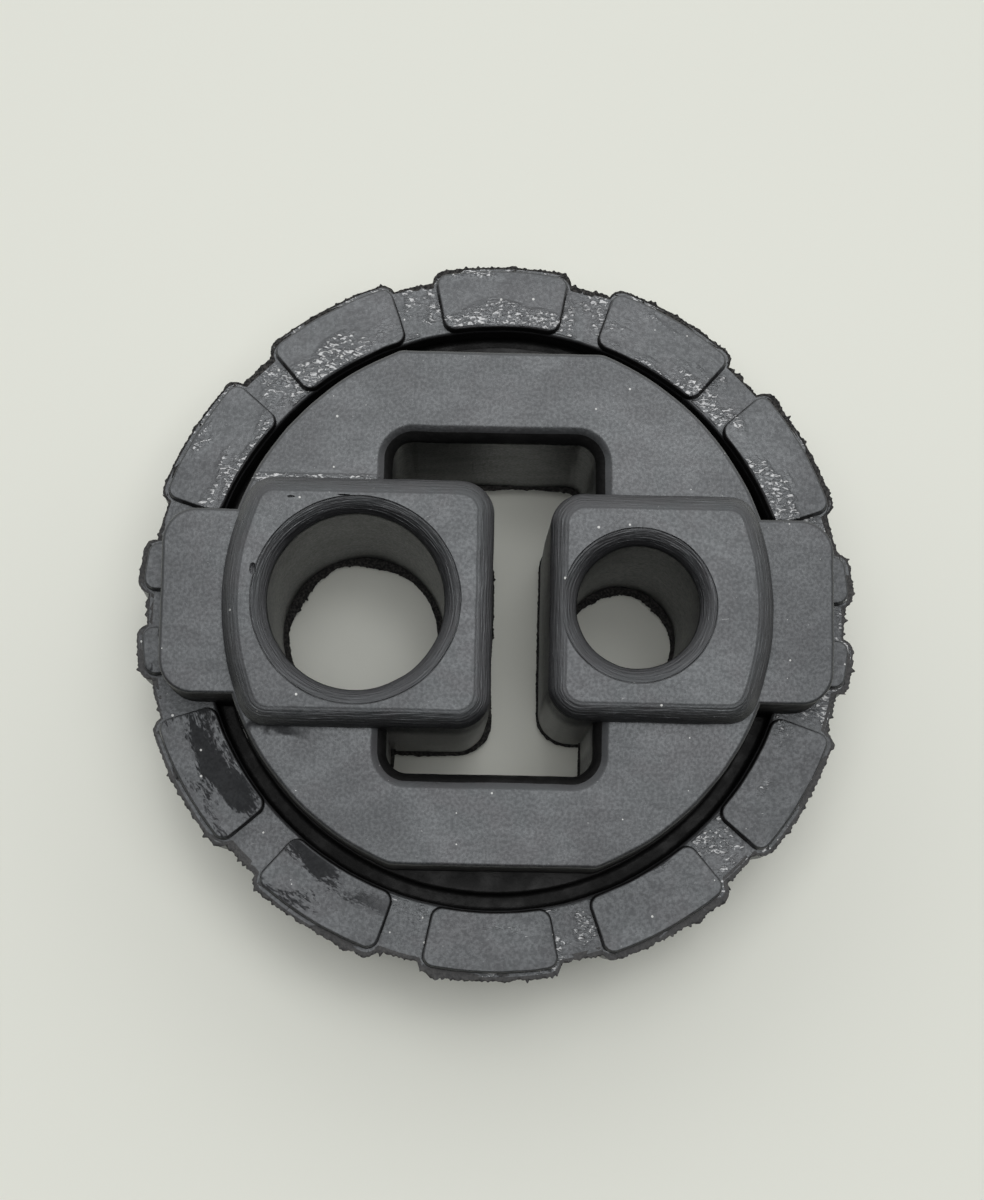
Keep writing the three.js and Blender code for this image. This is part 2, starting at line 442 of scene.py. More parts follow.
def window_shape():
    x = WINDOW_WIDTH / 2 - WINDOW_CORNER
    y = boss_width(LARGE_BOSS) / 2 + WINDOW_SLOT - WINDOW_CORNER
    return outline(
        arc(WINDOW_CENTRE_X + x, y, WINDOW_CORNER, 0, QUARTER),
        arc(WINDOW_CENTRE_X - x, y, WINDOW_CORNER, QUARTER, 2 * QUARTER),
        arc(WINDOW_CENTRE_X - x, -y, WINDOW_CORNER, 2 * QUARTER, 3 * QUARTER),
        arc(WINDOW_CENTRE_X + x, -y, WINDOW_CORNER, 3 * QUARTER, 4 * QUARTER),
    )


def boss_width(boss):
    return boss["bore"] + 2 * boss["side_wall"]


def bore_x(boss):
    return BORES_CENTRE_X + boss["side"] * BORE_SPACING / 2


def boss_inner_end(boss):
    return boss["side"] * bore_x(boss) - boss["bore"] / 2 - boss["inner_wall"]


def boss_shape(boss):
    rim_radius = PLATE_RADIUS - BOSS_RIM_INSET
    outer_y = boss_width(boss) / 2 - BOSS_OUTER_CORNER
    angle = math.asin(outer_y / (rim_radius - BOSS_OUTER_CORNER))
    outer_x = (rim_radius - BOSS_OUTER_CORNER) * math.cos(angle)
    inner_x = boss_inner_end(boss) + BOSS_INNER_CORNER
    inner_y = boss_width(boss) / 2 - BOSS_INNER_CORNER
    points = outline(
        arc(0, 0, rim_radius, -angle, angle),
        arc(outer_x, outer_y, BOSS_OUTER_CORNER, angle, QUARTER),
        arc(inner_x, inner_y, BOSS_INNER_CORNER, QUARTER, 2 * QUARTER),
        arc(inner_x, -inner_y, BOSS_INNER_CORNER, 2 * QUARTER, 3 * QUARTER),
        arc(outer_x, -outer_y, BOSS_OUTER_CORNER, 3 * QUARTER, 4 * QUARTER - angle),
    )
    return points if boss["side"] > 0 else rotated(points, math.pi)


def tab_shape(side):
    root_x = PLATE_RADIUS - BOSS_RIM_INSET - BOSS_EDGE - TAB_CORNER
    corner_x = TAB_REACH - TAB_CORNER
    corner_y = TAB_WIDTH / 2 - TAB_CORNER
    points = outline(
        [(root_x, -TAB_WIDTH / 2)],
        arc(corner_x, -corner_y, TAB_CORNER, -QUARTER, 0),
        arc(corner_x, corner_y, TAB_CORNER, 0, QUARTER),
        [(root_x, TAB_WIDTH / 2)],
    )
    return points if side > 0 else rotated(points, math.pi)


# Ring sector with round corners; middle and half are angles in radians
def sector_shape(inner_radius, outer_radius, middle, half, corner):
    inner = inner_radius + corner
    outer = outer_radius - corner
    inner_angle = half - math.asin(corner / inner)
    outer_angle = half - math.asin(corner / outer)
    inner_x = inner * math.cos(inner_angle)
    inner_y = inner * math.sin(inner_angle)
    outer_x = outer * math.cos(outer_angle)
    outer_y = outer * math.sin(outer_angle)
    points = outline(
        arc(0, 0, outer_radius, -outer_angle, outer_angle),
        arc(outer_x, outer_y, corner, outer_angle, half + QUARTER),
        arc(inner_x, inner_y, corner, half + QUARTER, inner_angle + 2 * QUARTER),
        arc(0, 0, inner_radius, inner_angle, -inner_angle),
        arc(inner_x, -inner_y, corner, 2 * QUARTER - inner_angle, 3 * QUARTER - half),
        arc(outer_x, -outer_y, corner, -half - QUARTER, -outer_angle),
    )
    return rotated(points, middle)


# Middle angle and half span of each lug's pads; the lug at each tab is split in two
def lug_angles():
    pitch = 360 / LUG_COUNT
    full = pitch - LUG_GAP_ANGLE
    split = (full - SPLIT_GAP_ANGLE) / 2
    offset = (split + SPLIT_GAP_ANGLE) / 2
    spans = []
    for i in range(LUG_COUNT):
        angle = i * pitch
        if angle % 180 == 0:
            spans += [(angle - offset, split), (angle + offset, split)]
        else:
            spans.append((angle, full))
    return [(math.radians(middle), math.radians(span / 2)) for middle, span in spans]


# Core, web and ring as one closed profile of (radius, height) pairs
def ring_profile():
    fillet = GROOVE_FILLET
    soft = RING_SOFT
    core = CORE_THICKNESS / 2
    web = WEB_THICKNESS / 2
    ring = RING_THICKNESS / 2
    upper = [
        (PLATE_RADIUS - RING_ROOT, core),
        *arc(CORE_RADIUS - soft, core - soft, soft, QUARTER, 0),
        *arc(CORE_RADIUS + fillet, web + fillet, fillet, 2 * QUARTER, 3 * QUARTER),
        *arc(RING_INNER_RADIUS - fillet, web + fillet, fillet, -QUARTER, 0),
        *arc(RING_INNER_RADIUS + RING_BEVEL, ring - RING_BEVEL, RING_BEVEL, 2 * QUARTER, QUARTER),
        *arc(RING_OUTER_RADIUS - soft, ring - soft, soft, QUARTER, 0),
    ]
    lower = [(radius, -height) for radius, height in reversed(upper)]
    return [*upper, *lower]


# Reach and height along a chamfer that is crowned towards the opening, from its throat to its
# outer edge, which lies at the given height
def chamfer_layers(throat, width, depth, crown, height):
    layers = []
    for i in range(CHAMFER_STEPS + 1):
        share = i / CHAMFER_STEPS
        rise = crown * 4 * share * (1 - share)
        layers.append((throat + width * share - rise, height - depth * (1 - share) + rise))
    return layers


# Cutter through the whole moulding, from the outline of its throat and the layers of its upper half
def through_cut(name, points, throat, upper):
    lower = [(reach, -z) for reach, z in reversed(upper)]
    layers = [(grown(points, reach - throat), MIDDLE_Z + z) for reach, z in [*lower, *upper]]
    return loft(name, layers)


def window_cut():
    top = PLATE_THICKNESS / 2
    width = WINDOW_CHAMFER_WIDTH + WINDOW_SOFT
    depth = WINDOW_CHAMFER_DEPTH + WINDOW_LIP
    upper = chamfer_layers(0, width, depth, WINDOW_CROWN, top + WINDOW_LIP)
    upper.append((width, top + CUT_MARGIN))
    return through_cut("window_cut", window_shape(), 0, upper)


# Bore with crowned chamfers, each with a fine groove round it
def bore_cut(boss):
    throat = boss["bore"] / 2
    rim = throat + BORE_CHAMFER_WIDTH
    top = BOSS_LENGTH / 2
    edge = top - CHAMFER_GROOVE / 2
    upper = chamfer_layers(throat, BORE_CHAMFER_WIDTH, BORE_CHAMFER_DEPTH, CHAMFER_CROWN, edge)
    upper += [
        (rim + CHAMFER_GROOVE * GROOVE_FLOOR, top - CHAMFER_GROOVE),
        (rim + CHAMFER_GROOVE, top),
        (rim + CHAMFER_GROOVE * GROOVE_OUTSIDE, top + CHAMFER_GROOVE / 2),
        (rim + CHAMFER_GROOVE * GROOVE_OUTSIDE, top + CUT_MARGIN),
    ]
    circle = outline(arc(bore_x(boss), 0, throat, 0, 4 * QUARTER))
    return through_cut("bore_cut", circle, throat, upper)


# Cutter for a small nick in the front of the large boss
def nick_cut(x, y, length, width):
    work = bmesh.new()
    bmesh.ops.create_icosphere(work, subdivisions=2, radius=1)
    for vertex in work.verts:
        vertex.co *= 1 + NICK_ROUGHNESS * noise.noise(vertex.co * 1.3 + Vector((x, y, 0)))
        place = Vector((vertex.co.x * width, vertex.co.y * length, vertex.co.z * NICK_DEPTH))
        vertex.co = (place + Vector((bore_x(LARGE_BOSS) + x, y, BOSS_LENGTH))) * MM
    mesh = bpy.data.meshes.new("nick")
    work.to_mesh(mesh)
    work.free()
    piece = bpy.data.objects.new("nick", mesh)
    bpy.context.scene.collection.objects.link(piece)
    return piece


def lug_block(middle, half):
    inner = RING_OUTER_RADIUS - LUG_ROOT
    points = sector_shape(inner, LUG_RADIUS, middle, half + LUG_MARGIN / LUG_RADIUS, LUG_CORNER)
    return block("lug", points, RING_THICKNESS, LUG_EDGE, LUG_EDGE_STEPS, LUG_DRAFT)


# Pads on both faces of a lug, with sides that lean in towards the face
def pad_block(middle, half):
    inner = RING_INNER_RADIUS + PAD_INNER_LEDGE
    outer = LUG_RADIUS - PAD_OUTER_LEDGE
    points = sector_shape(inner, outer, middle, half, PAD_CORNER)
    half_height = RING_THICKNESS / 2 + PAD_HEIGHT
    lean = [(-PAD_DRAFT + g, z) for g, z in edge_layers(half_height, PAD_EDGE, PAD_EDGE_STEPS, 0)]
    steps = len(lean) // 2
    layers = [*lean[:steps], (0, -RING_THICKNESS / 2), (0, RING_THICKNESS / 2), *lean[steps + 1:]]
    return loft("pads", [(grown(points, g), MIDDLE_Z + z) for g, z in layers])


# Long, low waves, so that no edge or face is ruler straight, and short level ones along the edges
def soften(piece):
    for vertex in piece.data.vertices:
        wave = noise.noise_vector(vertex.co / (WAVE_LENGTH * MM)) * WAVE_HEIGHT
        ripple = noise.noise_vector(vertex.co / (RIPPLE_LENGTH * MM)) * RIPPLE_HEIGHT
        vertex.co += (wave + Vector((ripple.x, ripple.y, 0))) * MM


def shade(piece, angle):
    piece.data.shade_smooth()
    piece.data.set_sharp_from_angle(angle=math.radians(angle))
    modifier = piece.modifiers.new("weighted", "WEIGHTED_NORMAL")
    modifier.keep_sharp = True
    modifier.weight = CREASE_WEIGHT


# Whether a face is in painted shade: in the groove, on the flats' ledges, on the plate's or a tab's
# side or in the window's chamfer; level is its distance from the middle plane, and tilt how far it
# faces up or down
def in_painted_shade(radius, level, tilt):
    core_level = CORE_THICKNESS / 2 + LEVEL_MARGIN
    plate_level = PLATE_THICKNESS / 2
    throat_level = plate_level - WINDOW_CHAMFER_DEPTH - LEVEL_MARGIN
    in_groove = CORE_RADIUS - LEVEL_MARGIN < radius < RING_INNER_RADIUS + GROOVE_MARGIN
    beyond_window = radius > PLATE_RADIUS - FLAT_DEPTH - FLAT_MARGIN
    if in_groove and level < RING_THICKNESS / 2 - RING_BEVEL:
        return True
    if level < core_level:
        return beyond_window and radius < CORE_RADIUS
    if beyond_window:
        on_wall = core_level < level <= plate_level - PLATE_EDGE and tilt < WALL_TILT
        return on_wall and radius < TAB_REACH + TAB_MARGIN
    on_chamfer = throat_level < level < plate_level - UNSHADED_EDGE and tilt > CHAMFER_TILT
    return on_chamfer and radius < WINDOW_REACH


# Gives the faces in painted shade the second of the piece's materials
def mark_painted_shade(piece):
    for face in piece.data.polygons:
        level = abs(face.center.z / MM - MIDDLE_Z)
        if in_painted_shade(face.center.xy.length / MM, level, abs(face.normal.z)):
            face.material_index = 1


def moulding():
    body = block(
        "rubber_body", plate_shape(), PLATE_THICKNESS, PLATE_EDGE, PLATE_EDGE_STEPS, PLATE_DRAFT)
    ring = turned("ring", ring_profile())
    lugs = merged("lugs", [lug_block(middle, half) for middle, half in lug_angles()])
    pads = merged("pads", [pad_block(middle, half) for middle, half in lug_angles()])
    tabs = [
        block("tab", tab_shape(side), PLATE_THICKNESS, TAB_EDGE, TAB_EDGE_STEPS, TAB_DRAFT)
        for side in (-1, 1)
    ]
    bosses = [
        block(
            "boss", boss_shape(boss), BOSS_LENGTH, BOSS_EDGE, BOSS_EDGE_STEPS, BOSS_DRAFT, BOSS_RIPPLE)
        for boss in (LARGE_BOSS, SMALL_BOSS)
    ]
    bores = merged("bores", [bore_cut(boss) for boss in (LARGE_BOSS, SMALL_BOSS)])
    nicks = merged("nicks", [nick_cut(*nick) for nick in NICKS])
    window = window_cut()
    for piece in [body, ring, lugs, pads, *tabs, *bosses, bores, nicks, window]:
        face_out(piece)
    combine(body, ring, "UNION")
    combine(body, window, "DIFFERENCE")
    for piece in [lugs, pads, *tabs, *bosses]:
        combine(body, piece, "UNION")
    combine(body, bores, "DIFFERENCE")
    combine(body, nicks, "DIFFERENCE")
    soften(body)
    shade(body, BODY_CREASE)
    return body


# Noise at a place, with swells about as long as the kind's wave
def swell(x, y, kind, seed):
    return noise.noise(Vector((x / kind["wave"], y / kind["wave"], seed)))


# Height of a place's swell above the kind's least height
def crest(x, y, kind, seed):
    return max(0, swell(x, y, kind, seed + kind["seed"]) - kind["above"])


# Uneven width of torn flash at a place: a slow swell, fine teeth and now and then a long one
def tear_width(x, y, seed, base, teeth):
    slow = swell(x, y, TEAR_SLOW, seed)
    shape = TEAR_RAGGED["share"] * swell(x, y, TEAR_RAGGED, seed)
    shape += TEAR_FINE["share"] * swell(x, y, TEAR_FINE, seed)
    shape += TEAR_LONG["share"] * crest(x, y, TEAR_LONG, seed)
    shape += TEAR_SPIKE["share"] * crest(x, y, TEAR_SPIKE, seed) * (1 + slow)
    return max(NARROWEST_FLASH, base * (1 + TEAR_SLOW["share"] * slow) + teeth * shape)


# Torn strip along a path of (x, y, direction out); closed where the path comes back to its start,
# wider by the lip where it faces -Y, and trimmed where it faces -X +Y
def flash_strip(name, path, level, flash, closed, lip=0.0):
    seed = flash["seed"]
    section = [(-FLASH_ROOT, 0), *FLASH_NOSE, (-FLASH_ROOT, -1)]
    vertices = []
    for x, y, direction in path:
        trim = 1 - FLASH_TRIM * max(0, direction.y - direction.x)
        base = flash["base"] + lip * max(0, -direction.y)
        width = tear_width(x, y, seed, base, flash["teeth"]) * trim
        for share, height in section:
            reach = share * width if share > 0 else share
            lift = swell(x, y, TEAR_LIFT, seed + share * TEAR_LIFT["seed"])
            lift = FLASH_LIFT * lift * max(share, 0)
            z = level + lift + height * FLASH_THICKNESS
            vertices.append((x + direction.x * reach, y + direction.y * reach, z))
    size = len(section)
    count = len(path)
    faces = []
    for i in range(count if closed else count - 1):
        near = i * size
        far = ((i + 1) % count) * size
        for j in range(size):
            k = (j + 1) % size
            faces.append((near + j, near + k, far + k, far + j))
    if not closed:
        faces.append(tuple(range(size)))
        faces.append(tuple(reversed(range((count - 1) * size, count * size))))
    piece = mesh_object(name, vertices, faces)
    face_out(piece)
    return piece


# Points at even steps along an outline, each with its direction out
def walked(points, inwards):
    path = []
    for i, start in enumerate(points):
        end = points[(i + 1) % len(points)]
        length = math.dist(start, end)
        side = -1 if inwards else 1
        direction = Vector(((end[1] - start[1]) / length, (start[0] - end[0]) / length)) * side
        for j in range(max(1, round(length / FLASH_STEP))):
            share = j * FLASH_STEP / length
            path.append((*point_between(start, end, share), direction))
    return path


# The one stretch of a closed path whose places pass a test
def stretch(path, test):
    start = next(i for i, place in enumerate(path) if not test(place[0], place[1]))
    return [place for place in path[start:] + path[:start] if test(place[0], place[1])]


def in_window(x, y):
    return abs(x - WINDOW_CENTRE_X) < WINDOW_WIDTH / 2 + WINDOW_CHAMFER_WIDTH


def beside_bosses(x, y):
    boss = LARGE_BOSS if x < WINDOW_CENTRE_X else SMALL_BOSS
    return abs(y) > boss_width(boss) / 2 - FLASH_ROOT


# Radius of the ring's outer edge at an angle, lugs included
def rim_radius(angle):
    radius = RING_OUTER_RADIUS
    rise = LUG_RADIUS - RING_OUTER_RADIUS
    for middle, half in lug_angles():
        away = abs((angle - middle + math.pi) % (2 * math.pi) - math.pi)
        inside = (half - away) * LUG_RADIUS + LUG_MARGIN
        if inside > 0:
            short = max(0, LUG_CORNER - inside)
            edge = rise - LUG_CORNER + math.sqrt(LUG_CORNER ** 2 - short ** 2)
            radius = max(radius, RING_OUTER_RADIUS + edge)
    return radius


def rim_flash():
    count = round(2 * math.pi * LUG_RADIUS / FLASH_STEP)
    path = []
    for i in range(count):
        angle = 2 * math.pi * i / count
        direction = Vector((math.cos(angle), math.sin(angle)))
        radius = rim_radius(angle) - FLASH_SINK
        path.append((direction.x * radius, direction.y * radius, direction))
    return flash_strip("rim_flash", path, RIM_FLASH_Z, RIM_FLASH, True, RIM_LIP)


def hole_flash():
    strips = []
    for boss in (LARGE_BOSS, SMALL_BOSS):
        circle = outline(arc(bore_x(boss), 0, boss["bore"] / 2, 0, 4 * QUARTER))
        strips.append(flash_strip("bore_flash", walked(circle, True), BORE_FLASH_Z, BORE_FLASH, True))
        wall = stretch(walked(boss_shape(boss), False), in_window)
        strips.append(flash_strip("boss_flash", wall, BOSS_FLASH_Z, BOSS_FLASH, False))
    for side in (-1, 1):
        wall = stretch(walked(window_shape(), True), lambda x, y: y * side > 0 and beside_bosses(x, y))
        strips.append(flash_strip("window_flash", wall, WINDOW_FLASH_Z, WINDOW_FLASH, False))
    return merged("hole_flash", strips)


# Adds a node; an input takes a plain value or another node's output
def node(tree, kind, inputs, **settings):
    made = tree.nodes.new(kind)
    for name, value in settings.items():
        setattr(made, name, value)
    for key, value in inputs.items():
        if isinstance(value, bpy.types.NodeSocket):
            tree.links.new(value, made.inputs[key])
        else:
            made.inputs[key].default_value = value
    return made


# Noise with blots of about a size in millimetres
def noise_at(tree, place, size_mm, detail=2.0, distortion=0.0):
    inputs = {"Vector": place, "Scale": 1 / (size_mm * MM), "Detail": detail, "Distortion": distortion}
    return node(tree, "ShaderNodeTexNoise", inputs).outputs["Fac"]


# Takes a value from one range to another, held at both ends
def ranged(tree, value, low, high, to_low=0.0, to_high=1.0):
    inputs = {"Value": value, "From Min": low, "From Max": high, "To Min": to_low, "To Max": to_high}
    return node(tree, "ShaderNodeMapRange", inputs, interpolation_type="SMOOTHSTEP").outputs["Result"]


def maths(tree, operation, a, b=0.0):
    return node(tree, "ShaderNodeMath", {0: a, 1: b}, operation=operation).outputs[0]


def mixed(tree, share, a, b):
    made = node(tree, "ShaderNodeMix", {}, data_type="RGBA")
    for key, value in zip(("Factor_Float", "A_Color", "B_Color"), (share, a, b)):
        socket = next(s for s in made.inputs if s.identifier == key)
        if isinstance(value, bpy.types.NodeSocket):
            tree.links.new(value, socket)
        else:
            socket.default_value = value if key == "Factor_Float" else (*value, 1)
    return next(s for s in made.outputs if s.identifier == "Result_Color")


def bumped(tree, height, distance_mm, normal=None):
    inputs = {"Height": height, "Distance": distance_mm * MM, "Strength": 1.0}
    if normal is not None:
        inputs["Normal"] = normal
    return node(tree, "ShaderNodeBump", inputs).outputs["Normal"]


# Sum of values
def sum_of(tree, *values):
    result = values[0]
    for value in values[1:]:
        result = maths(tree, "ADD", result, value)
    return result


# Product of shares
def all_of(tree, *shares):
    result = shares[0]
    for share in shares[1:]:
        result = maths(tree, "MULTIPLY", result, share)
    return result


# Greatest of shares
def any_of(tree, *shares):
    result = shares[0]
    for share in shares[1:]:
        result = maths(tree, "MAXIMUM", result, share)
    return result


def parts_of(tree, vector):
    return node(tree, "ShaderNodeSeparateXYZ", {"Vector": vector}).outputs


# Place with its axes scaled, so that a pattern on it is longer along an axis with a small scale
def scaled(tree, place, scale):
    return node(tree, "ShaderNodeMapping", {"Vector": place, "Scale": scale}).outputs["Vector"]


def surface_normal(tree):
    return parts_of(tree, node(tree, "ShaderNodeNewGeometry", {}).outputs["Normal"])


def distance_from_axis(tree, x, y):
    squares = maths(tree, "ADD", maths(tree, "MULTIPLY", x, x), maths(tree, "MULTIPLY", y, y))
    return maths(tree, "SQRT", squares)


# Where things lie on the moulding: place, distance from the axis, and the place's parts
def surveyed(tree):
    place = node(tree, "ShaderNodeTexCoord", {}).outputs["Object"]
    parts = parts_of(tree, place)
    return place, distance_from_axis(tree, parts["X"], parts["Y"]), parts


def from_middle(tree, parts):
    return maths(tree, "ABSOLUTE", maths(tree, "SUBTRACT", parts["Z"], MIDDLE_Z * MM))


# How far a place lies along a slanted line from the -X -Y side to the +X +Y side
def slantwise(tree, parts):
    across = maths(tree, "MULTIPLY", parts["X"], SLANT_X)
    along = maths(tree, "MULTIPLY", parts["Y"], SLANT_Y)
    return maths(tree, "ADD", across, along)


# Share of 1 between two values, in millimetres, and 0 outside them, with soft ends
def between(tree, value, low, high, soft=0.1):
    rising = ranged(tree, value, (low - soft) * MM, (low + soft) * MM)
    falling = ranged(tree, value, (high - soft) * MM, (high + soft) * MM, 1, 0)
    return maths(tree, "MULTIPLY", rising, falling)


# Place on the ring as distance from the axis and length round it, for patterns that are longer
# round the ring than across it
def round_the_ring(tree, parts, radius):
    angle = maths(tree, "ARCTAN2", parts["Y"], parts["X"])
    length = maths(tree, "MULTIPLY", angle, RING_INNER_RADIUS * MM / RING_PATTERN_STRETCH)
    return node(tree, "ShaderNodeCombineXYZ", {"X": radius, "Y": length}).outputs["Vector"]


# Share of 0 to 1 that marks torn, scaly rubber: in the ring's gaps, on the pads' inner parts, and
# along the far foot of the large boss
def scaly_share(tree, place, radius, parts):
    height = parts["Z"]
    on_ring = between(tree, radius, RING_INNER_RADIUS + 0.4, LUG_RADIUS + 2)
    in_gap = between(tree, height, RIM_FLASH_Z - 0.25, PAD_LEVEL - 0.4)
    on_pad = between(tree, height, PAD_LEVEL - 0.1, PAD_LEVEL + 0.6)
    clean = ranged(tree, slantwise(tree, parts), -40 * MM, -25 * MM)
    gaps = all_of(tree, on_ring, in_gap, clean, ranged(tree, noise_at(tree, place, 2.5, 2), 0.38, 0.6))
    worn = sum_of(
        tree,
        noise_at(tree, round_the_ring(tree, parts, radius), 3, 3),
        ranged(tree, parts["Y"], -20 * MM, 12 * MM, -0.1, 0.05),
        ranged(tree, radius, 31 * MM, 34 * MM, 0.07, -0.15),
    )
    pads = all_of(tree, on_ring, on_pad, clean, ranged(tree, worn, 0.5, 0.66))
    foot_y = boss_width(LARGE_BOSS) / 2
    foot = all_of(
        tree,
        between(tree, parts["Y"], foot_y - 0.3, foot_y + 0.5, 0.2),
        between(tree, parts["X"], -26, -12, 1.5),
        between(tree, height, PLATE_LEVEL - 0.5, PLATE_LEVEL + 0.5),
    )
    return any_of(tree, gaps, pads, foot)


# Share of 0 to 1 that marks painted dark patches: a painted dark reflection on the ring's pads at the
# -X -Y side, and a painted shadow on the plate along the near foot of the large boss
def painted_dark_share(tree, place, radius, parts):
    height = parts["Z"]
    on_ring = between(tree, radius, RING_INNER_RADIUS + 0.4, LUG_RADIUS + 2)
    on_pad = between(tree, height, PAD_LEVEL - 0.6, PAD_LEVEL + 0.6)
    slant = slantwise(tree, parts)
    path = round_the_ring(tree, parts, radius)
    blots = sum_of(
        tree,
        noise_at(tree, path, 2.6, 4, 0.3),
        ranged(tree, slant, -48 * MM, -34 * MM, 0.1, 0),
        ranged(tree, noise_at(tree, path, 0.22, 4, 0.6), 0.3, 0.7, -0.06, 0.06),
        ranged(tree, radius, 30.5 * MM, 34 * MM, 0.08, -0.14),
    )
    corner = ranged(tree, slant, -42 * MM, -30 * MM, 0.85, 0)
    pads = all_of(tree, on_ring, on_pad, corner, ranged(tree, blots, 0.53, 0.62))
    foot_y = -boss_width(LARGE_BOSS) / 2
    edge = ranged(tree, noise_at(tree, place, 2, 4), 0.3, 0.7, -0.8 * MM, 0.8 * MM)
    foot = all_of(
        tree,
        between(tree, maths(tree, "ADD", parts["Y"], edge), foot_y - 0.7, foot_y + 0.5, 0.5),
        between(tree, parts["X"], -25.5, -19, 1.5),
        between(tree, height, PLATE_LEVEL - 0.5, PLATE_LEVEL + 0.3),
        0.8,
    )
    return any_of(tree, pads, foot)


# Share of 0 to 1 that marks painted shade where the chamfers of the window and the bores end
def throat_shade_share(tree, parts):
    away = from_middle(tree, parts)
    level = PLATE_THICKNESS / 2 - WINDOW_CHAMFER_DEPTH
    share = all_of(
        tree,
        between(tree, away, level - 0.45, level + 0.15),
        between(tree, maths(tree, "ABSOLUTE", parts["Y"]), boss_width(LARGE_BOSS) / 2 + 0.4, 17),
        between(tree, maths(tree, "ABSOLUTE", parts["X"]), -1, WINDOW_WIDTH / 2 + 0.9),
    )
    level = BOSS_LENGTH / 2 - BORE_CHAMFER_DEPTH
    for boss in (LARGE_BOSS, SMALL_BOSS):
        across = maths(tree, "SUBTRACT", parts["X"], bore_x(boss) * MM)
        radius = distance_from_axis(tree, across, parts["Y"])
        line = all_of(
            tree,
            between(tree, away, level - 0.35, level + 0.1),
            between(tree, radius, -1, boss["bore"] / 2 + 0.35),
        )
        share = any_of(tree, share, line)
    return share


# Share of 0 to 1 that marks painted bounce light on the bosses' walls in the window, where they face
# -Y
def bounce_light_share(tree, parts, shaded_side):
    low = -boss_width(LARGE_BOSS) / 2 - 1
    high = -boss_width(SMALL_BOSS) / 2 + 2.5
    below_edge = ranged(tree, parts["Z"], 21 * MM, 26 * MM, 1, 0)
    return all_of(tree, shaded_side, between(tree, parts["Y"], low, high, 0.5), below_edge)


# Share of 0 to 1 that marks small light specks of dust, a few to a square centimetre
def speck_share(tree, place):
    inputs = {"Vector": place, "Scale": 1 / (3.2 * MM)}
    cells = node(tree, "ShaderNodeTexVoronoi", inputs, voronoi_dimensions="2D")
    chosen = parts_of(tree, cells.outputs["Color"])["X"]
    size = ranged(tree, chosen, 0.7, 1, 0, 0.045)
    return ranged(tree, maths(tree, "SUBTRACT", size, cells.outputs["Distance"]), 0, 0.012)


# Makes a material; its shader's plain inputs are given by name
def new_material(name, inputs):
    material = bpy.data.materials.new(name)
    material.use_nodes = True
    shader = material.node_tree.nodes["Principled BSDF"]
    for key, value in inputs.items():
        shader.inputs[key].default_value = value
    return material, material.node_tree, shader


# Rubber of the faces that look up or down: clouds, smears and a fine mottle
def face_colour(tree, tint, clouds, smears, mottle):
    colour = mixed(tree, ranged(tree, tint, 0.4, 0.62), GREY_RUBBER, BROWN_RUBBER)
    colour = mixed(tree, ranged(tree, clouds, 0.4, 0.65, 0, 0.7), colour, DARK_RUBBER)
    colour = mixed(tree, ranged(tree, smears, 0.48, 0.66, 0, 0.5), colour, WIPED_RUBBER)
    return mixed(tree, ranged(tree, mottle, 0.45, 0.75, 0, 0.3), colour, MOTTLE)


# Rubber of the walls: dark on the rim, with painted shade where they face -Y, and painted bounce light
# in the window
def wall_colour(tree, normal, radius, parts):
    lit = maths(tree, "ADD", normal["Y"], maths(tree, "MULTIPLY", normal["X"], 0.3))
    # Walls that face -Y, away from the light, get painted shade
    shaded_side = ranged(tree, lit, -0.5, 0.1, 1, 0)
    colour = mixed(tree, ranged(tree, radius, 32.5 * MM, 34 * MM), WALL, RIM_WALL)
    colour = mixed(tree, shaded_side, colour, SHADED_WALL)
    return mixed(tree, bounce_light_share(tree, parts, shaded_side), colour, BOUNCE_LIT_WALL)


